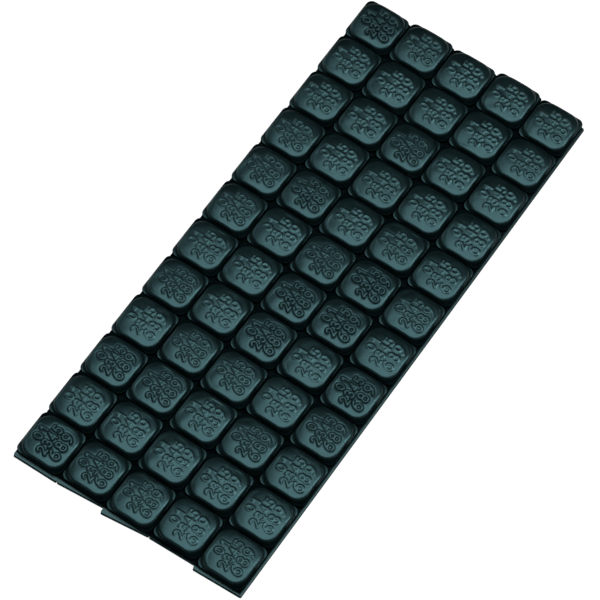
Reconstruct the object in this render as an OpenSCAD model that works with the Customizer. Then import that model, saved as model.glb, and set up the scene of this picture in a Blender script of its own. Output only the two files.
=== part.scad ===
// Sheet of stick-on wheel balance weights.
// Five strips lie edge to edge. Each strip is a row of coated steel weights on one foam tape,
// with a release liner under the tape. X runs across the strips, Y along them, Z up.
// The origin is on the surface that the sheet lies on, under the middle of the sheet.

/* [Weight] */
// Width of one weight, across its strip
weight_w = 16.8; // [12:0.1:20]
// Length of one weight, along its strip
weight_l = 16.6; // [12:0.1:20]
// Thickness of the flat plate at the foot of a weight
plate_t = 1.5; // [1:0.1:3]
// Corner radius of the plate, seen from above
plate_corner_r = 3.0; // [2:0.1:4]

/* [Crowned face] */
// Mean width of the flat ledge that the plate leaves round the crowned face
ledge_w = 0.35; // [0.3:0.05:0.8]
// How far the face is stamped off the plate's middle, across the strip
face_shift_x = -0.15; // [-0.25:0.05:0.25]
// How far the face is stamped off the plate's middle, along the strip
face_shift_y = 0.05; // [-0.25:0.05:0.25]
// Height of the face's middle above the plate
face_rise = 2.5; // [2.2:0.05:3.2]
// How much of that height is the shallow crown
crown_rise = 0.5; // [0.3:0.05:0.7]
// Radius of the rounded shoulder between side and crown
shoulder_r = 1.6; // [1:0.05:1.8]
// Corner radius of the face, seen from above
face_corner_r = 5.0; // [4.2:0.1:5.8]
// Radius of the round that takes the face's corners down to the plate
corner_fall_r = 2.4; // [2:0.1:3]
// How far that round would reach above the crown at a corner
corner_lift = 0.3; // [0.2:0.05:0.5]
// How far outside the face's corners that round starts
corner_ease = 0.15; // [0.05:0.05:0.3]

/* [Strip] */
// Weights on one strip
weights_per_strip = 12; // [2:2:16]
// Gap between neighbouring weights on one strip
weight_gap = 0.4; // [0.2:0.05:0.8]
// Strips in the sheet
strip_count = 5; // [1:1:5]
// Gap between neighbouring strips
strip_gap = 0.4; // [0.2:0.05:0.8]
// How far each strip has slipped along Y from its neighbours
strip_slip = [-0.4, 0.25, -0.25, 0.6, -0.15]; // [-1:0.05:1]

/* [Foam tape] */
// Thickness of the foam tape
tape_t = 1.0; // [0.5:0.1:1.6]
// How far the tape runs past the last weight at the near end of each strip
tape_overhang_near = [1.1, 1.0, 0.9, 0.65, 0.8]; // [0.2:0.05:2]
// How far the tape runs past the last weight at the far end of each strip
tape_overhang_far = [-0.4, -0.4, -0.4, -0.4, -1.5]; // [-2:0.05:2]
// How much further out the left corner of each near end was cut than the right one
tape_skew = [0.1, 1.3, 1.8, 0.4, 0.6]; // [0:0.05:2]
// Gap between neighbouring tapes
tape_gap = 0.1; // [0.05:0.05:0.3]
// How much further out each tape was cut on its left side
tape_out_left = [-0.55, 0, 0, 0, 0]; // [-1:0.05:0]
// How much further out each tape was cut on its right side
tape_out_right = [0, 0, 0, 0, 0.65]; // [0:0.05:1]
// Corner radius of the tape's cut ends
tape_corner_r = 0.5; // [0.2:0.1:2]

/* [Release liner] */
// Thickness of the release liner
liner_t = 0.15; // [0.1:0.01:0.3]
// How far the liner shows past the tape's cut ends
liner_margin = 0.25; // [0.1:0.05:0.5]

/* [Hidden] */
$fn = 96;
// Weights in one node: two neighbours on a strip
node_weights = 2;
// Facets of the crown's large circle in a drawn mesh
crown_facets = 720;
// Straight steps in each rounded corner of a tape or liner
corner_steps = 6;

weight_pitch = weight_l + weight_gap;
strip_pitch = weight_w + strip_gap;
row_l = weights_per_strip * weight_pitch - weight_gap;
tape_z = liner_t;
plate_z = tape_z + tape_t;
face_z = plate_z + plate_t;

face_w = weight_w - 2 * ledge_w;
face_l = weight_l - 2 * ledge_w;
// The crown is an arc that drops by crown_rise from the middle to where the shoulder starts
shoulder_x = face_w / 2 - shoulder_r;
crown_r = (pow(shoulder_x, 2) + pow(crown_rise, 2)) / (2 * crown_rise);
// Height at which the shoulder's round touches the crown from inside
shoulder_z = face_rise - crown_r + sqrt(pow(crown_r - shoulder_r, 2) - pow(shoulder_x, 2));
// Depth to which the face is rooted in the plate
root_t = plate_t / 2;
// How far a shape stands above the face before it is trimmed
trim_t = 1;
// Width from corner to corner
face_diagonal = sqrt(pow(face_w - 2 * face_corner_r, 2) + pow(face_l - 2 * face_corner_r, 2))
    + 2 * face_corner_r + 2 * corner_ease;
// Height of the axis of the corners' round
corner_fall_z = face_rise - crown_rise + corner_lift - corner_fall_r;

function strip_x(strip) = (strip - (strip_count + 1) / 2) * strip_pitch;
// Left and right edge of a strip's tape
function tape_left(strip) = strip_x(strip) - (strip_pitch - tape_gap) / 2 - tape_out_left[strip - 1];
function tape_right(strip) = strip_x(strip) + (strip_pitch - tape_gap) / 2 + tape_out_right[strip - 1];
function weight_y(strip, place) = (place - (weights_per_strip + 1) / 2) * weight_pitch + strip_slip[strip - 1];
function two_digits(n) = n < 10 ? str("0", n) : str(n);
function pair_name(strip, first) =
    str("strip_", strip, "_weights_", two_digits(first), "_", two_digits(first + node_weights - 1));
function tape_name(strip) = str("strip_", strip, "_foam_tape");
function liner_name(strip) = str("strip_", strip, "_release_liner");

strips = [1:strip_count];
pair_starts = [1:node_weights:weights_per_strip];

// Points on a quarter round of radius r about centre, from the given angle on
function quarter(centre, r, from) = [
    for (k = [0:corner_steps]) centre + r * [cos(from + 90 * k / corner_steps), sin(from + 90 * k / corner_steps)]
];

// Outline with rounded corners, its near end cut askew: near_left lies further out than near_right
function cut_outline(left, right, near_left, near_right, far, r) = concat(
    quarter([left + r, near_left + r], r, 180),
    quarter([right - r, near_right + r], r, 270),
    quarter([right - r, far - r], r, 0),
    quarter([left + r, far - r], r, 90)
);

module rounded_plate(width, length, r) {
    square([width - 2 * r, length], center = true);
    square([width, length - 2 * r], center = true);
    for (x = [-1, 1], y = [-1, 1])
        translate([x * (width / 2 - r), y * (length / 2 - r)]) circle(r = r);
}

// Section of a block with upright sides whose upper edges are rounded, tall enough to be trimmed
module rounded_section(width, edge_r, edge_z) {
    translate([-width / 2 + edge_r, -root_t]) square([width - 2 * edge_r, root_t + face_rise + trim_t]);
    translate([-width / 2, -root_t]) square([width, root_t + max(edge_z, 0)]);
    for (side = [-1, 1])
        translate([side * (width / 2 - edge_r), edge_z]) circle(r = edge_r);
}

// Section across the face: upright sides, rounded shoulders and the shallow crown between them
module face_section(width) {
    intersection() {
        rounded_section(width, shoulder_r, shoulder_z);
        translate([0, face_rise - crown_r]) circle(r = crown_r, $fn = crown_facets);
    }
}

// A section drawn out sideways, so that it shapes the two sides that the turn faces
module draw_out(turn) {
    rotate([90, 0, turn]) linear_extrude(height = 2 * weight_w, center = true) children();
}

module crowned_face() {
    intersection() {
        translate([0, 0, -root_t])
            linear_extrude(height = root_t + face_rise + trim_t) rounded_plate(face_w, face_l, face_corner_r);
        draw_out(0) face_section(face_w);
        draw_out(90) face_section(face_l);
        draw_out(45) rounded_section(face_diagonal, corner_fall_r, corner_fall_z);
        draw_out(-45) rounded_section(face_diagonal, corner_fall_r, corner_fall_z);
    }
}

module weight() {
    translate([0, 0, plate_z]) linear_extrude(height = plate_t) rounded_plate(weight_w, weight_l, plate_corner_r);
    translate([face_shift_x, face_shift_y, face_z]) crowned_face();
}

module weight_pair(strip, first) {
    color([0.13, 0.21, 0.22])
        for (place = [first:first + node_weights - 1])
            translate([strip_x(strip), weight_y(strip, place), 0]) weight();
}

// Near end of a strip's row of weights
function row_near(strip) = strip_slip[strip - 1] - row_l / 2;
function row_far(strip) = strip_slip[strip - 1] + row_l / 2;

// Outline of a strip's tape or liner, grown at both cut ends by a margin
function tape_outline(strip, margin) = cut_outline(
    tape_left(strip),
    tape_right(strip),
    row_near(strip) - tape_overhang_near[strip - 1] - tape_skew[strip - 1] / 2 - margin,
    row_near(strip) - tape_overhang_near[strip - 1] + tape_skew[strip - 1] / 2 - margin,
    row_far(strip) + tape_overhang_far[strip - 1] + margin,
    tape_corner_r
);

module foam_tape(strip) {
    color([0.05, 0.07, 0.08])
        translate([0, 0, tape_z])
            linear_extrude(height = tape_t) polygon(tape_outline(strip, 0));
}

module release_liner(strip) {
    color([0.10, 0.14, 0.15])
        linear_extrude(height = liner_t) polygon(tape_outline(strip, liner_margin));
}

for (strip = strips) {
    for (first = pair_starts)
        weight_pair(strip, first);
    foam_tape(strip);
    release_liner(strip);
}
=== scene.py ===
"""Looks of a sheet of stick-on wheel balance weights: coated steel, foam tape, liner and a plain studio."""

import logging
import math
from dataclasses import dataclass, field
from enum import Enum
from typing import ClassVar

import bpy
import numpy as np
from mathutils import Matrix, Vector


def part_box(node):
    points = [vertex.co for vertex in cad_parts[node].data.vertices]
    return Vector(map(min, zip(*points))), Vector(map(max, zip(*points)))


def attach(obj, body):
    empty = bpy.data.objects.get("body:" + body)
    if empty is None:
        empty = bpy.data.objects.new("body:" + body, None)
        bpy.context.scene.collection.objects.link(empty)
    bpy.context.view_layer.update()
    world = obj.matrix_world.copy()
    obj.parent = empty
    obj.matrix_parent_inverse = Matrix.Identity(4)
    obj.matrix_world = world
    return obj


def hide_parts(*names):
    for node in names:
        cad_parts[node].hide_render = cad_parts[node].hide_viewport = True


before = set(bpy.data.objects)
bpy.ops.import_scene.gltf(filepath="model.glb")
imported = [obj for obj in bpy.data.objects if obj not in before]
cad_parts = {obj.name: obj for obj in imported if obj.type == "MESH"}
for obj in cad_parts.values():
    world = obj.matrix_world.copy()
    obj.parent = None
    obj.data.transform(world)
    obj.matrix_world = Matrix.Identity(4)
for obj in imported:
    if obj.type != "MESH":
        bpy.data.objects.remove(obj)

log = logging.getLogger("balance_weights")
MM = 0.001
TINY = 1e-9

Point = tuple[float, float]
Place = tuple[float, float, float]
Colour = tuple[float, float, float]
WHITE = (1.0, 1.0, 1.0, 1.0)


class Slot(Enum):
    """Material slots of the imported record. The tapes' and liners' nodes end in the same words."""

    STEEL = "coated_steel"
    FOAM = "foam_tape"
    LINER = "release_liner"


def strip_numbers() -> list[int]:
    """Find the numbers of the strips in the frame, in order."""
    return sorted(int(name.split("_")[1]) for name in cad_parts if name.endswith(Slot.FOAM.value))


def eased(share: np.ndarray) -> np.ndarray:
    """Ease shares from 0 to 1 in and out, so that they start and end level."""
    return share * share * (3 - 2 * share)


class Nodes:
    """One material's shader nodes, made and wired with short calls."""

    def __init__(self, name: str) -> None:
        """Start an empty material.

        Args:
            name: the material's name.
        """
        self.material = bpy.data.materials.new(name)
        self.material.use_nodes = True
        self.tree = self.material.node_tree
        self.tree.nodes.clear()
        self.output = self.tree.nodes.new("ShaderNodeOutputMaterial")

    def add(self, kind: str, settings: dict | None = None, **inputs) -> bpy.types.Node:
        """Add one node.

        Args:
            kind: node type without its ShaderNode prefix.
            settings: attributes to set on the node.
            **inputs: values, or output sockets to link, by input (see find_input).

        Returns:
            The new node.
        """
        node = self.tree.nodes.new("ShaderNode" + kind)
        for key, value in (settings or {}).items():
            setattr(node, key, value)
        for key, value in inputs.items():
            socket = self.find_input(node, key)
            if isinstance(value, bpy.types.NodeSocket):
                self.tree.links.new(value, socket)
            else:
                socket.default_value = value
        return node

    @staticmethod
    def find_input(node: bpy.types.Node, key: str) -> bpy.types.NodeSocket:
        """Find a node's input.

        Args:
            node: the node.
            key: the input's name with _ for each blank, or n and the input's number.

        Returns:
            The input socket.
        """
        if key[0] == "n" and key[1:].isdigit():
            return node.inputs[int(key[1:])]
        return node.inputs[key.replace("_", " ")]

    def ramp(self, factor: bpy.types.NodeSocket, stops: list[tuple[float, Colour]]) -> bpy.types.NodeSocket:
        """Add a colour ramp.

        Args:
            factor: socket that drives it.
            stops: places along the ramp with their colours.

        Returns:
            The ramp's colour socket.
        """
        node = self.add("ValToRGB", Fac=factor)
        elements = node.color_ramp.elements
        while len(elements) < len(stops):
            elements.new(0.5)
        for element, (place, colour) in zip(elements, stops):
            element.position = place
            element.color = (*colour, 1.0)
        return node.outputs["Color"]

    def scaled(self, factor: bpy.types.NodeSocket, low: float, high: float) -> bpy.types.NodeSocket:
        """Map a 0 to 1 factor to the range from low to high and return the result's socket."""
        return self.add("MapRange", Value=factor, To_Min=low, To_Max=high).outputs["Result"]

    def finish(self, shader: bpy.types.Node) -> bpy.types.Material:
        """Link the shader to the output and return the material."""
        self.tree.links.new(shader.outputs[0], self.output.inputs["Surface"])
        return self.material


@dataclass(frozen=True)
class SteelCoat:
    """Dark satin coat on steel: near black with a greenish sheen, paler on edges, with painted shade where
    its gloss is taken away.
    """

    dark: Colour = (0.0005, 0.0016, 0.0018)
    light: Colour = (0.0018, 0.0048, 0.0052)
    worn: Colour = (0.0200, 0.0440, 0.0470)
    sheen_tint: Colour = (0.42, 0.92, 1.0)
    roughness: tuple[float, float] = (0.25, 0.38)
    # painted shade: where the side attribute is 1 the coat gets rougher and loses all gloss, so it shows near
    # black
    painted_shade_roughness: float = 0.70
    specular: float = 0.64
    painted_shade_specular: float = 0.0
    grain_mm: float = 0.45
    grain_depth_mm: float = 0.018
    cloud_mm: float = 7.0

    def make(self) -> bpy.types.Material:
        """Build the coat from noise in the part's own space, the mesh's edge attribute (wear) and its side
        attribute (painted shade).

        Returns:
            The material.
        """
        n = Nodes(Slot.STEEL.value)
        place = n.add("TexCoord").outputs["Object"]
        cloud = n.add("TexNoise", Vector=place, Scale=1 / (self.cloud_mm * MM), Detail=4.0, Roughness=0.6)
        grain = n.add("TexNoise", Vector=place, Scale=1 / (self.grain_mm * MM), Detail=3.0, Roughness=0.55)
        colour = n.ramp(cloud.outputs["Fac"], [(0.30, self.dark), (0.72, self.light)])
        edge = n.add("Attribute", {"attribute_name": "edge"}).outputs["Fac"]
        # side: painted shade from 0 to 1, on upright sides, more on the near-right and far-left sides, and
        # round the figures
        side = n.add("Attribute", {"attribute_name": "side"}).outputs["Fac"]
        patchy = n.add("Math", {"operation": "MULTIPLY"}, n0=edge, n1=grain.outputs["Fac"]).outputs[0]
        colour = n.add("Mix", {"data_type": "RGBA"}, n0=patchy, n6=colour, n7=(*self.worn, 1.0)).outputs[2]
        rough = n.scaled(cloud.outputs["Fac"], *self.roughness)
        # painted shade: rougher and without gloss where side is high
        rough = n.add("Mix", n0=side, n2=rough, n3=self.painted_shade_roughness).outputs[0]
        gloss = n.scaled(side, self.specular, self.painted_shade_specular)
        bump = n.add("Bump", Strength=0.5, Distance=self.grain_depth_mm * MM, Height=grain.outputs["Fac"])
        shader = n.add("BsdfPrincipled", Base_Color=colour, Roughness=rough, Normal=bump.outputs["Normal"],
                       Specular_IOR_Level=gloss)
        shader.inputs["Specular Tint"].default_value = (*self.sheen_tint, 1.0)
        return n.finish(shader)


@dataclass(frozen=True)
class FoamFinish:
    """Black closed-cell foam: matt and pitted, with a glossy film of adhesive where no weight covers it."""

    dark: Colour = (0.0006, 0.0014, 0.0016)
    light: Colour = (0.0030, 0.0062, 0.0068)
    cut: Colour = (0.014, 0.030, 0.032)
    sheen_tint: Colour = (0.50, 0.95, 1.0)
    roughness: tuple[float, float] = (0.75, 0.95)
    film_roughness: float = 0.32
    film_specular: float = 0.60
    pits: float = 0.7
    film_pits: float = 0.05
    cell_mm: float = 0.28
    cloud_mm: float = 1.6
    pit_depth_mm: float = 0.06
    bare_y_mm: float = -102.0
    bare_x_mm: float = 42.9
    blend_mm: float = 0.6

    def make(self) -> bpy.types.Material:
        """Build the foam from cells and noise in the part's own space.

        Returns:
            The material.
        """
        n = Nodes(Slot.FOAM.value)
        place = n.add("TexCoord").outputs["Object"]
        cells = n.add("TexVoronoi", Vector=place, Scale=1 / (self.cell_mm * MM))
        cloud = n.add("TexNoise", Vector=place, Scale=1 / (self.cloud_mm * MM), Detail=3.0)
        upward = n.add("SeparateXYZ", Vector=n.add("NewGeometry").outputs["True Normal"]).outputs["Z"]
        top = n.add("Math", {"operation": "GREATER_THAN"}, n0=upward, n1=0.5).outputs[0]
        axes = n.add("SeparateXYZ", Vector=place)
        half = self.blend_mm / 2
        near = n.add("MapRange", Value=axes.outputs["Y"], From_Min=(self.bare_y_mm + half) * MM,
                     From_Max=(self.bare_y_mm - half) * MM).outputs["Result"]
        right = n.add("MapRange", Value=axes.outputs["X"], From_Min=(self.bare_x_mm - half) * MM,
                      From_Max=(self.bare_x_mm + half) * MM).outputs["Result"]
        bare = n.add("Math", {"operation": "MAXIMUM"}, n0=near, n1=right).outputs[0]
        film = n.add("Math", {"operation": "MULTIPLY"}, n0=top, n1=bare).outputs[0]
        colour = n.ramp(cloud.outputs["Fac"], [(0.35, self.dark), (0.70, self.light)])
        cut = n.ramp(cloud.outputs["Fac"], [(0.25, self.light), (0.60, self.cut)])
        colour = n.add("Mix", {"data_type": "RGBA"}, n0=top, n6=cut, n7=colour).outputs[2]
        rough = n.scaled(cloud.outputs["Fac"], *self.roughness)
        rough = n.add("Mix", n0=film, n2=rough, n3=self.film_roughness).outputs[0]
        gloss = n.scaled(film, 0.0, self.film_specular)
        pits = n.scaled(film, self.pits, self.film_pits)
        bump = n.add("Bump", Strength=pits, Distance=self.pit_depth_mm * MM, Height=cells.outputs["Distance"])
        shader = n.add("BsdfPrincipled", Base_Color=colour, Roughness=rough, Normal=bump.outputs["Normal"],
                       Specular_IOR_Level=gloss)
        shader.inputs["Specular Tint"].default_value = (*self.sheen_tint, 1.0)
        return n.finish(shader)


@dataclass(frozen=True)
class LinerFinish:
    """Dark siliconed film: smooth, with a faint crinkle and a soft gloss."""

    dark: Colour = (0.0030, 0.0070, 0.0078)
    light: Colour = (0.0090, 0.0180, 0.0195)
    sheen_tint: Colour = (0.50, 0.95, 1.0)
    roughness: tuple[float, float] = (0.28, 0.45)
    wave_mm: float = 6.0
    grain_mm: float = 0.6
    crinkle_mm: float = 0.03

    def make(self) -> bpy.types.Material:
        """Build the liner from noise in the part's own space.

        Returns:
            The material.
        """
        n = Nodes(Slot.LINER.value)
        place = n.add("TexCoord").outputs["Object"]
        wave = n.add("TexNoise", Vector=place, Scale=1 / (self.wave_mm * MM), Detail=2.0)
        grain = n.add("TexNoise", Vector=place, Scale=1 / (self.grain_mm * MM), Detail=2.0)
        colour = n.ramp(wave.outputs["Fac"], [(0.35, self.dark), (0.70, self.light)])
        rough = n.scaled(grain.outputs["Fac"], *self.roughness)
        bump = n.add("Bump", Strength=0.4, Distance=self.crinkle_mm * MM, Height=wave.outputs["Fac"])
        shader = n.add("BsdfPrincipled", Base_Color=colour, Roughness=rough, Normal=bump.outputs["Normal"])
        shader.inputs["Specular Tint"].default_value = (*self.sheen_tint, 1.0)
        return n.finish(shader)


def arc(centre: Point, radii: Point, start: float, end: float, steps: int = 14) -> list[Point]:
    """Lay points along part of an ellipse with these half sizes, between two angles in degrees."""
    turns = [math.radians(start + (end - start) * k / steps) for k in range(steps + 1)]
    return [(centre[0] + radii[0] * math.cos(t), centre[1] + radii[1] * math.sin(t)) for t in turns]


def plain_figures() -> dict[str, list[list[Point]]]:
    """Draw the ten plain figures, each in a box one unit wide and one high.

    Returns:
        The strokes of each figure.
    """
    return {
        "0": [arc((0.5, 0.5), (0.42, 0.5), 0, 360, 24)],
        "1": [[(0.2, 0.76), (0.55, 1.0), (0.55, 0.0)]],
        "2": [arc((0.5, 0.7), (0.42, 0.3), 165, -35) + [(0.06, 0.0), (0.94, 0.0)]],
        "3": [arc((0.46, 0.76), (0.38, 0.24), 150, -90), arc((0.46, 0.27), (0.46, 0.27), 90, -150)],
        "4": [[(0.7, 0.0), (0.7, 1.0), (0.06, 0.3), (0.96, 0.3)]],
        "5": [[(0.88, 1.0), (0.22, 1.0), (0.14, 0.56)] + arc((0.46, 0.33), (0.46, 0.33), 125, -145)],
        "6": [arc((0.5, 0.3), (0.42, 0.3), 0, 360, 24), arc((0.9, 0.3), (0.82, 0.7), 180, 95, 8)],
        "7": [[(0.06, 1.0), (0.94, 1.0), (0.38, 0.0)]],
        "8": [arc((0.5, 0.76), (0.34, 0.24), 0, 360, 20), arc((0.5, 0.26), (0.43, 0.26), 0, 360, 22)],
        "9": [arc((0.5, 0.7), (0.42, 0.3), 0, 360, 24), arc((0.1, 0.7), (0.82, 0.7), 0, -85, 8)],
    }


@dataclass(frozen=True)
class StrokeLine:
    """Soft line that follows the strokes from outside. Sizes in millimetres."""

    out: float
    width: float
    strength: float

    def at(self, outside: np.ndarray, crisp: float) -> np.ndarray:
        """Strength of the line at distances outside the strokes, for figures as crisp as given."""
        return self.strength * (crisp * np.exp(-(((outside - self.out) / self.width) ** 2)))


@dataclass(frozen=True)
class RaisedFigures:
    """Three rows of plain figures, raised in the steel and softened by the coat. Sizes in millimetres.

    Crisper figures stand higher and have sharper edges, a moat and a line of painted shade round them,
    where the coat's gloss is taken away.
    """

    rows: tuple[str, ...] = ("01", "2345", "689")
    row_heights: tuple[float, ...] = (2.7, 3.1, 3.5)
    row_lengths: tuple[float, ...] = (5.2, 10.4, 9.6)
    row_middles: tuple[float, ...] = (0.6, -0.1, 0.0)
    row_gap: float = 0.95
    spacing: float = 0.32
    stroke: float = 0.66
    stroke_change: tuple[float, float] = (-0.05, 0.08)
    misplacement: float = 0.12
    crisp_power: float = 2.4
    height: float = 0.24
    crisp_height: float = 0.24
    softness: float = 0.34
    crisp_sharpness: float = 0.18
    moat: StrokeLine = StrokeLine(out=0.30, width=0.28, strength=0.10)
    # painted shade: a dark line round the strokes, where the coat's gloss is taken away
    painted_shade_line: StrokeLine = StrokeLine(out=0.15, width=0.22, strength=1.2)

    def segments(self) -> np.ndarray:
        """Cut all strokes on the weight's face into straight segments.

        Returns:
            An array of start and end points in millimetres. Rows read along +Y, their tops towards -X.
        """
        figures = plain_figures()
        box_height = sum(self.row_heights) + self.row_gap * (len(self.rows) - 1)
        top = -box_height / 2
        found = []
        sizes = zip(self.rows, self.row_heights, self.row_lengths, self.row_middles)
        for row, height, length, middle in sizes:
            pitch = length / (len(row) - self.spacing)
            for place, figure in enumerate(row):
                start = middle - length / 2 + place * pitch
                for stroke in figures[figure]:
                    line = [
                        (top + (1 - v) * height, start + u * pitch * (1 - self.spacing))
                        for u, v in stroke
                    ]
                    found += [(*a, *b) for a, b in zip(line, line[1:])]
            top += height + self.row_gap
        return np.array(found)

    def distance(self, xy: np.ndarray) -> np.ndarray:
        """Measure how far points are from the strokes' middle lines.

        Args:
            xy: points on the face in millimetres from its middle.

        Returns:
            Distance of each point to the nearest line in millimetres.
        """
        segments = self.segments()
        start, end = segments[:, :2], segments[:, 2:]
        way = end - start
        reach = xy[:, None, :] - start[None]
        along = np.clip((reach * way).sum(-1) / np.maximum((way**2).sum(-1), TINY), 0, 1)
        return np.linalg.norm(reach - along[..., None] * way, axis=-1).min(1)


@dataclass(frozen=True)
class Ring:
    """One ring of a weight's mesh. Sizes in millimetres.

    The coat's wear and painted shade run from 0 to 1; painted shade takes the coat's gloss away.
    The near-right and far-left sides may have painted shade of their own.
    The corners of a ring that falls lie lower than its sides.
    """

    half_w: float
    half_l: float
    corner_r: float
    z: float
    wear: float = 0.0
    painted_shade: float = 0.0
    near_painted_shade: float | None = None
    far_painted_shade: float | None = None
    falls: bool = False
    # way across the weight towards its near-right side, along which near and far painted shade is set
    near_way: ClassVar[Point] = (0.6, -0.8)
    near_from: ClassVar[float] = 0.35
    near_blend: ClassVar[float] = 0.25

    def spread_painted_shade(self, ring: np.ndarray) -> np.ndarray:
        """Spread the painted shade along the ring.

        Args:
            ring: the ring's points in millimetres.

        Returns:
            0 for the open coat and up to 1 for full painted shade.
        """
        across, along = self.near_way
        towards = across * ring[:, 0] / self.half_w + along * ring[:, 1] / self.half_l
        painted_shade = np.full(len(ring), float(self.painted_shade))
        for side, end in ((1, self.near_painted_shade), (-1, self.far_painted_shade)):
            if end is not None:
                share = np.clip((side * towards - self.near_from) / self.near_blend, 0, 1)
                painted_shade += (end - self.painted_shade) * eased(share)
        return painted_shade


@dataclass
class WeightShape:
    """One weight: a plate and the crowned face on it. Sizes in millimetres, angles in degrees.

    Width, length, foot_z and top_z come from the frame. The other sizes are chosen to fit the photo, not
    measured, and the ledge and the plate's corners differ from the CAD model's.
    """

    width: float
    length: float
    foot_z: float
    top_z: float
    plate_t: float = 1.5
    plate_corner_r: float = 2.3
    ledge_w: float = 0.15
    face_corner_r: float = 4.9
    crown: float = 0.5
    crown_power: float = 2.2
    corner_fall: float = 0.30
    shoulder_r: float = 1.6
    shoulder_end: float = 68.0
    shoulder_steps: int = 6
    shoulder_wear: float = 0.15
    # slopes in degrees where painted shade on the shoulder starts, sooner on the near-right and far-left
    # sides, and the slopes over which it grows
    painted_shade_from: float = 42.0
    near_painted_shade_from: float = 27.0
    far_painted_shade_from: float = 24.0
    painted_shade_blend: float = 25.0
    foot_shares: tuple[float, ...] = (0.2, 0.4, 0.6, 0.8)
    foot_power: float = 2.4
    plate_edge_r: float = 0.25
    # painted shade on the plate's rounded edge, from its top to its side
    plate_edge_painted_shade: tuple[float, ...] = (0.0, 0.5, 1.0, 1.0)
    plate_edge_wear: float = 0.3
    plate_foot_r: float = 0.12
    plate_foot_wear: float = 0.05
    relief_room: float = 0.40
    relief_fade: float = 0.06
    full_wear_rise: float = 0.2
    lump_count: int = 7
    lump_height: float = 0.015
    lump_turn: float = 0.55
    cells: int = 60

    def outline(self, half_w: float, half_l: float, corner_r: float) -> np.ndarray:
        """Lay points round a rounded rectangle, equally many from the middle of each corner to the next.

        Args:
            half_w: half its width.
            half_l: half its length.
            corner_r: radius of its corners.

        Returns:
            Points anticlockwise from the corner at -X, -Y.
        """
        points = []
        for side in range(4):
            half_a, half_b = (half_w, half_l) if side % 2 == 0 else (half_l, half_w)
            straight = half_a - corner_r
            reach = straight + corner_r * math.pi / 4
            t = np.linspace(-1, 1, self.cells, endpoint=False)
            along = np.abs(t) * reach
            turn = np.maximum(along - straight, 0) / max(corner_r, TINY)
            x = np.where(turn > 0, straight + corner_r * np.sin(turn), along) * np.sign(t)
            y = -(half_b - corner_r * (1 - np.cos(turn)))
            c, s = round(math.cos(side * math.pi / 2)), round(math.sin(side * math.pi / 2))
            points.append(np.c_[c * x - s * y, s * x + c * y])
        return np.concatenate(points)

    def crown_drop(self, share: np.ndarray) -> np.ndarray:
        """Depth of the crown below the face's middle, at a share of the way to the shoulder."""
        return self.crown * share**self.crown_power

    def corner_drop(self, share: np.ndarray, place: np.ndarray) -> np.ndarray:
        """Further depth towards the corners; place is 0 at the middle of a side and 1 on a diagonal."""
        return self.corner_fall * share**3 * (2 * place / (1 + place**2))**4

    def shoulder_start(self) -> float:
        """Slope at which the crown runs into the shoulder, in radians."""
        return math.asin(self.crown_power * self.crown / (self.width / 2 - self.ledge_w - self.shoulder_r))

    def shoulder_in(self) -> float:
        """How far inside the face's outline the shoulder starts."""
        return self.shoulder_r * (1 - math.sin(self.shoulder_start()))

    def rings(self) -> list[Ring]:
        """Lay out all rings from the shoulder down to the plate's foot."""
        shoulder = self.shoulder_rings()
        return shoulder + self.foot_rings(shoulder[-1]) + self.plate_rings()

    def shoulder_rings(self) -> list[Ring]:
        """Lay out the rings round the shoulder.

        Returns:
            The rings from below the crown down to the steep side.
        """
        face_w = self.width / 2 - self.ledge_w
        face_l = self.length / 2 - self.ledge_w
        start, end = self.shoulder_start(), math.radians(self.shoulder_end)
        top = self.top_z - self.relief_room - self.crown
        made = []
        for k in range(1, self.shoulder_steps + 1):
            slope = start + (end - start) * k / self.shoulder_steps
            out = self.shoulder_r * (math.sin(slope) - 1)
            z = top - self.shoulder_r * (math.cos(start) - math.cos(slope))
            # painted shade grows with the slope from the given start slopes
            painted_shade, near_painted_shade, far_painted_shade = (
                min(max((math.degrees(slope) - first) / self.painted_shade_blend, 0), 1)
                for first in (self.painted_shade_from, self.near_painted_shade_from, self.far_painted_shade_from)
            )
            made.append(Ring(face_w + out, face_l + out, self.face_corner_r + out, z,
                             self.shoulder_wear * math.sin(2 * slope), painted_shade, near_painted_shade, far_painted_shade, falls=True))
        return made

    def foot_rings(self, last: Ring) -> list[Ring]:
        """Lay out the rings where the face's side flows out into the plate.

        Args:
            last: the shoulder's lowest ring.

        Returns:
            The rings from the side out to the plate's edge.
        """
        plate_z = self.foot_z + self.plate_t
        spans = (
            (last.half_w, self.width / 2),
            (last.half_l, self.length / 2),
            (last.corner_r, self.plate_corner_r),
        )
        made = []
        for share in self.foot_shares:
            w, l, r = (inner + (outer - self.plate_edge_r - inner) * share for inner, outer in spans)
            z = plate_z + (last.z - plate_z) * (1 - share) ** self.foot_power
            # painted shade: full at the face's foot, less out towards the plate's edge, full on the
            # near-right and far-left sides
            made.append(Ring(w, l, r, z, painted_shade=1 - share, near_painted_shade=1.0, far_painted_shade=1.0))
        return made

    def plate_rings(self) -> list[Ring]:
        """Lay out the rings round the plate.

        Returns:
            The rings from its rounded upper edge down to its foot.
        """
        half_w, half_l, corner_r = self.width / 2, self.length / 2, self.plate_corner_r
        plate_z = self.foot_z + self.plate_t
        foot_r = self.plate_foot_r
        made = []
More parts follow.
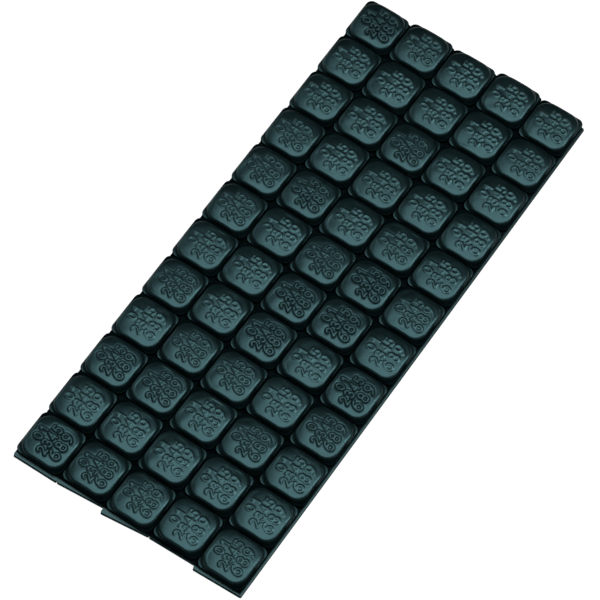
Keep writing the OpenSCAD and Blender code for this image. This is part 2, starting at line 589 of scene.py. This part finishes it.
        # painted shade over the plate's edge, full on its foot
        for k, painted_shade in enumerate(self.plate_edge_painted_shade):
            turn = math.pi / 2 * k / (len(self.plate_edge_painted_shade) - 1)
            out = self.plate_edge_r * (math.sin(turn) - 1)
            z = plate_z - self.plate_edge_r * (1 - math.cos(turn))
            made.append(Ring(half_w + out, half_l + out, corner_r + out, z,
                             self.plate_edge_wear * math.sin(2 * turn), painted_shade, near_painted_shade=1.0, far_painted_shade=1.0))
        made.append(Ring(half_w, half_l, corner_r, self.foot_z + foot_r, self.plate_foot_wear, painted_shade=1.0))
        made.append(Ring(half_w - foot_r, half_l - foot_r, corner_r - foot_r, self.foot_z, painted_shade=1.0))
        return made

    def spread(self, u: np.ndarray, v: np.ndarray, share: np.ndarray, border: np.ndarray) -> np.ndarray:
        """Spread a square grid over the face, its outer ring on the border.

        Args:
            u: grid places across, from -1 to 1.
            v: grid places along, from -1 to 1.
            share: share of the way from the middle to the border.
            border: the border's points, anticlockwise from the corner at -X, -Y.

        Returns:
            Points in millimetres from the face's middle.
        """
        n, slack = self.cells, 1e-6
        safe = np.maximum(share, TINY)
        p, q = u / safe, v / safe
        place = np.select(
            [q <= -1 + slack, p >= 1 - slack, q >= 1 - slack],
            [(p + 1) / 2 * n, n + (q + 1) / 2 * n, 2 * n + (1 - p) / 2 * n],
            3 * n + (1 - q) / 2 * n,
        )
        low = np.floor(place + TINY).astype(int)
        part = (place - low)[..., None]
        a, b = border[low % (4 * n)], border[(low + 1) % (4 * n)]
        return ((a * (1 - part) + b * part) * share[..., None]).reshape(-1, 2)


@dataclass
class Weight:
    """One coated weight with its raised figures."""

    name: str
    node: str
    centre: Point
    shape: WeightShape
    figures: RaisedFigures
    dice: np.random.Generator

    def relief(self, xy: np.ndarray) -> tuple[np.ndarray, np.ndarray]:
        """Raise the figures over the bare face, and paint shade round them by taking the coat's gloss away.

        Args:
            xy: points on the face in millimetres from its middle.

        Returns:
            Height at each point in millimetres, and painted shade from 0 to 1.
        """
        figures = self.figures
        crisp = self.dice.random() ** figures.crisp_power
        height = figures.height + figures.crisp_height * crisp
        soft = figures.softness - figures.crisp_sharpness * crisp
        grow = self.dice.uniform(*figures.stroke_change)
        moved = xy + self.dice.normal(0, figures.misplacement, 2)
        away = figures.distance(moved)
        rise = np.clip((figures.stroke / 2 + grow + soft - away) / (2 * soft), 0, 1)
        outside = away - figures.stroke / 2
        raised = height * eased(rise) - figures.moat.at(outside, crisp)
        return raised, np.clip(figures.painted_shade_line.at(outside, crisp), 0, 1)

    def lumps(self, xy: np.ndarray) -> np.ndarray:
        """Make the coat slightly uneven over the face.

        Args:
            xy: points on the face in millimetres from its middle.

        Returns:
            Height at each point in millimetres.
        """
        total = np.zeros(len(xy))
        for _ in range(self.shape.lump_count):
            wave = self.dice.normal(0, self.shape.lump_turn, 2)
            total += self.shape.lump_height * np.sin(xy @ wave + self.dice.uniform(0, 2 * math.pi))
        return total

    def face_top(self) -> tuple[np.ndarray, np.ndarray, np.ndarray]:
        """Shape the top of the face inside its shoulder.

        Returns:
            A square grid of points in millimetres, and the coat's wear and painted shade at each.
        """
        shape = self.shape
        inset = shape.ledge_w + shape.shoulder_in()
        inner_r = shape.face_corner_r - shape.shoulder_in()
        border = shape.outline(shape.width / 2 - inset, shape.length / 2 - inset, inner_r)
        ticks = np.arange(shape.cells + 1) * 2 / shape.cells - 1
        u, v = np.meshgrid(ticks, ticks)
        share = np.maximum(np.abs(u), np.abs(v))
        flat = shape.spread(u, v, share, border)
        place = (np.minimum(np.abs(u), np.abs(v)) / np.maximum(share, TINY)).ravel()
        share = share.ravel()
        z = shape.top_z - shape.relief_room - shape.crown_drop(share)
        z -= shape.corner_drop(share, place)
        fade = np.clip((1 - share) / shape.relief_fade, 0, 1)
        rise, painted_shade = self.relief(flat)
        rise = rise * fade
        z = z + rise + self.lumps(flat) * fade
        return np.c_[flat, z], np.clip(rise / shape.full_wear_rise, 0, 1), painted_shade * fade

    def skin(self) -> tuple[np.ndarray, list[list[int]], dict[str, np.ndarray]]:
        """Close the weight's skin from the top of the face down to its underside.

        Returns:
            Points in millimetres from the weight's middle, faces, and the coat's wear (edge) and painted
            shade (side) by attribute name. The last face is the underside.
        """
        shape, n = self.shape, self.shape.cells
        top, wear, painted_shade = self.face_top()
        # side holds the painted shade at each point
        points, edge, side = [top], [wear], [painted_shade]
        grid = np.arange((n + 1) ** 2).reshape(n + 1, n + 1)
        cell_corners = (grid[:-1, :-1], grid[:-1, 1:], grid[1:, 1:], grid[1:, :-1])
        faces = np.c_[tuple(ids.ravel() for ids in cell_corners)].tolist()
        rim = np.concatenate([grid[0, :-1], grid[:-1, -1], grid[-1, :0:-1], grid[:0:-1, 0]])
        place = np.abs(np.tile(np.linspace(-1, 1, n, endpoint=False), 4))
        ring_fall = shape.corner_drop(np.ones(4 * n), place)
        count = len(top)
        for level in shape.rings():
            ring = shape.outline(level.half_w, level.half_l, level.corner_r)
            points.append(np.c_[ring, level.z - ring_fall * level.falls])
            edge.append(np.full(len(ring), level.wear))
            side.append(level.spread_painted_shade(ring))
            ids = count + np.arange(len(ring))
            faces += np.c_[rim, ids, np.roll(ids, -1), np.roll(rim, -1)].tolist()
            rim, count = ids, count + len(ring)
        faces.append(rim[::-1].tolist())
        return np.concatenate(points), faces, {"edge": np.concatenate(edge), "side": np.concatenate(side)}

    def build(self, finish: bpy.types.Material) -> bpy.types.Object:
        """Make the weight's mesh and dress it.

        Args:
            finish: the coat's material.

        Returns:
            The new object, riding on the part's body.
        """
        points, faces, layers = self.skin()
        points[:, :2] += self.centre
        mesh = bpy.data.meshes.new(self.name)
        mesh.from_pydata((points * MM).tolist(), [], faces)
        mesh.polygons.foreach_set("use_smooth", [True] * len(mesh.polygons))
        mesh.polygons[-1].use_smooth = False
        for layer, values in layers.items():
            attribute = mesh.attributes.new(layer, "FLOAT", "POINT")
            attribute.data.foreach_set("value", values.astype(np.float32))
        mesh.materials.append(finish)
        mesh.update()
        piece = bpy.data.objects.new(self.name, mesh)
        bpy.context.scene.collection.objects.link(piece)
        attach(piece, "root")
        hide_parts(self.node)
        return piece


@dataclass
class Strip:
    """One strip: a row of weights on its foam tape and release liner. Counts and gap are the CAD model's."""

    number: int
    seed: int = 40
    per_node: int = 2
    count: int = 12
    weight_gap_mm: float = 0.4
    dice: np.random.Generator = field(init=False)

    def __post_init__(self) -> None:
        """Seed the strip's own random numbers."""
        self.dice = np.random.default_rng(self.seed + self.number)

    def weights(self, figures: RaisedFigures) -> list[Weight]:
        """Lay out the strip's weights where the frame has them.

        Args:
            figures: the raised figures on every face.

        Returns:
            The weights from the near end on.
        """
        made = []
        for first in range(1, self.count + 1, self.per_node):
            node = f"strip_{self.number}_weights_{first:02d}_{first + self.per_node - 1:02d}"
            low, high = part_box(node)
            low, high = Vector(low) / MM, Vector(high) / MM
            width = high.x - low.x
            length = (high.y - low.y - self.weight_gap_mm * (self.per_node - 1)) / self.per_node
            for k in range(self.per_node):
                y = low.y + length / 2 if k == 0 else high.y - length / 2
                shape = WeightShape(width, length, low.z, high.z)
                name = f"strip_{self.number}_weight_{first + k:02d}"
                made.append(Weight(name, node, ((low.x + high.x) / 2, y), shape, figures, self.dice))
        return made

    def dress_tape(self, foam: bpy.types.Material, liner: bpy.types.Material) -> None:
        """Give the strip's tape and liner their finishes.

        Args:
            foam: the foam's material.
            liner: the liner's material.
        """
        for slot, finish in ((Slot.FOAM, foam), (Slot.LINER, liner)):
            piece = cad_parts[f"strip_{self.number}_{slot.value}"]
            piece.data.materials.clear()
            piece.data.materials.append(finish)


@dataclass(frozen=True)
class SoftLamp:
    """Soft square lamp that faces the part. Place and size in metres."""

    name: str
    place: Place
    size: float
    watts: float

    def hang(self) -> bpy.types.Object:
        """Make the lamp.

        Returns:
            The new object.
        """
        data = bpy.data.lights.new(self.name, "AREA")
        data.shape, data.size, data.energy = "SQUARE", self.size, self.watts
        lamp = bpy.data.objects.new(self.name, data)
        lamp.location = self.place
        lamp.rotation_mode = "QUATERNION"
        lamp.rotation_quaternion = (-Vector(self.place)).to_track_quat("-Z", "Y")
        bpy.context.scene.collection.objects.link(lamp)
        return lamp


@dataclass(frozen=True)
class Studio:
    """Plain white floor, soft lamps and the camera. Metres and degrees."""

    focal_mm: float = 186.9
    distance: float = 1.0067
    azimuth: float = 30.776
    elevation: float = 62.827
    roll: float = 3.486
    aim: Place = (0.00103, -0.00641, 0.0)
    clip: tuple[float, float] = (0.05, 20.0)
    half_floor: float = 6.0
    floor_z: float = -0.0001
    floor_colour: Colour = (0.93, 0.93, 0.93)
    glow: float = 1.12
    glow_share: float = 0.80
    sky: float = 0.02
    lamps: tuple[SoftLamp, ...] = (
        SoftLamp("overhead_softbox", (0.0, 0.0, 1.5), size=1.45, watts=21.5),
        SoftLamp("side_softbox", (0.90, 0.58, 1.15), size=0.6, watts=9.0),
        SoftLamp("left_softbox", (-1.40, 0.25, 0.75), size=0.9, watts=2.5),
    )

    def camera(self) -> bpy.types.Object:
        """Make the camera at the photograph's angle.

        Returns:
            The new camera, set as the scene's own.
        """
        a, e = math.radians(self.azimuth), math.radians(self.elevation)
        back = Vector((math.sin(a) * math.cos(e), -math.cos(a) * math.cos(e), math.sin(e)))
        data = bpy.data.cameras.new("camera")
        data.lens = self.focal_mm
        data.clip_start, data.clip_end = self.clip
        cam = bpy.data.objects.new("camera", data)
        turn = (-back).to_track_quat("-Z", "Y").to_matrix().to_4x4()
        cam.matrix_world = (
            Matrix.Translation(Vector(self.aim) + back * self.distance)
            @ turn
            @ Matrix.Rotation(math.radians(self.roll), 4, "Z")
        )
        bpy.context.scene.collection.objects.link(cam)
        bpy.context.scene.camera = cam
        return cam

    def floor(self) -> bpy.types.Object:
        """Make the floor, which shows white, keeps the part's shadow and is clear from below.

        Returns:
            The new object.
        """
        n = Nodes("studio_floor")
        path = n.add("LightPath").outputs
        seen = path["Is Camera Ray"]
        for ray in ("Is Glossy Ray", "Is Transmission Ray"):
            seen = n.add("Math", {"operation": "MAXIMUM"}, n0=seen, n1=path[ray]).outputs[0]
        share = n.scaled(seen, 0.0, self.glow_share)
        matt = n.add("BsdfDiffuse", Color=(*self.floor_colour, 1.0))
        glow = n.add("Emission", Color=WHITE, Strength=self.glow)
        both = n.add("MixShader", n0=share, n1=matt.outputs[0], n2=glow.outputs[0])
        below = n.add("NewGeometry").outputs["Backfacing"]
        clear = n.add("BsdfTransparent")
        material = n.finish(n.add("MixShader", n0=below, n1=both.outputs[0], n2=clear.outputs[0]))
        size = self.half_floor
        mesh = bpy.data.meshes.new("studio_floor")
        square = [(-size, -size, 0), (size, -size, 0), (size, size, 0), (-size, size, 0)]
        mesh.from_pydata(square, [], [(0, 1, 2, 3)])
        mesh.materials.append(material)
        floor = bpy.data.objects.new("studio_floor", mesh)
        floor.location.z = self.floor_z
        bpy.context.scene.collection.objects.link(floor)
        return floor

    def light(self) -> None:
        """Hang the lamps, and set a world that is dim on the part and white to the camera."""
        for lamp in self.lamps:
            lamp.hang()
        world = bpy.data.worlds.new("studio")
        world.use_nodes = True
        nodes, links = world.node_tree.nodes, world.node_tree.links
        nodes.clear()
        out = nodes.new("ShaderNodeOutputWorld")
        mix, path = nodes.new("ShaderNodeMixShader"), nodes.new("ShaderNodeLightPath")
        links.new(path.outputs["Is Camera Ray"], mix.inputs[0])
        for place, strength in ((1, self.sky), (2, 1.0)):
            plain = nodes.new("ShaderNodeBackground")
            plain.inputs["Color"].default_value = WHITE
            plain.inputs["Strength"].default_value = strength
            links.new(plain.outputs[0], mix.inputs[place])
        links.new(mix.outputs[0], out.inputs["Surface"])
        bpy.context.scene.world = world
        bpy.context.scene.view_settings.view_transform = "Standard"


def main() -> None:
    """Build the sheet strip by strip, then the studio round it."""
    logging.basicConfig(level=logging.INFO, format="%(message)s")
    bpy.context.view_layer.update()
    studio = Studio()
    studio.camera()
    studio.floor()
    studio.light()
    coat, foam, liner = SteelCoat().make(), FoamFinish().make(), LinerFinish().make()
    figures = RaisedFigures()
    for number in strip_numbers():
        strip = Strip(number)
        for weight in strip.weights(figures):
            piece = weight.build(coat)
            log.info("%s: %d faces", piece.name, len(piece.data.polygons))
        strip.dress_tape(foam, liner)
        log.info("strip %d: tape and liner dressed", number)
    bpy.context.view_layer.update()


if __name__ == "__main__":
    main()
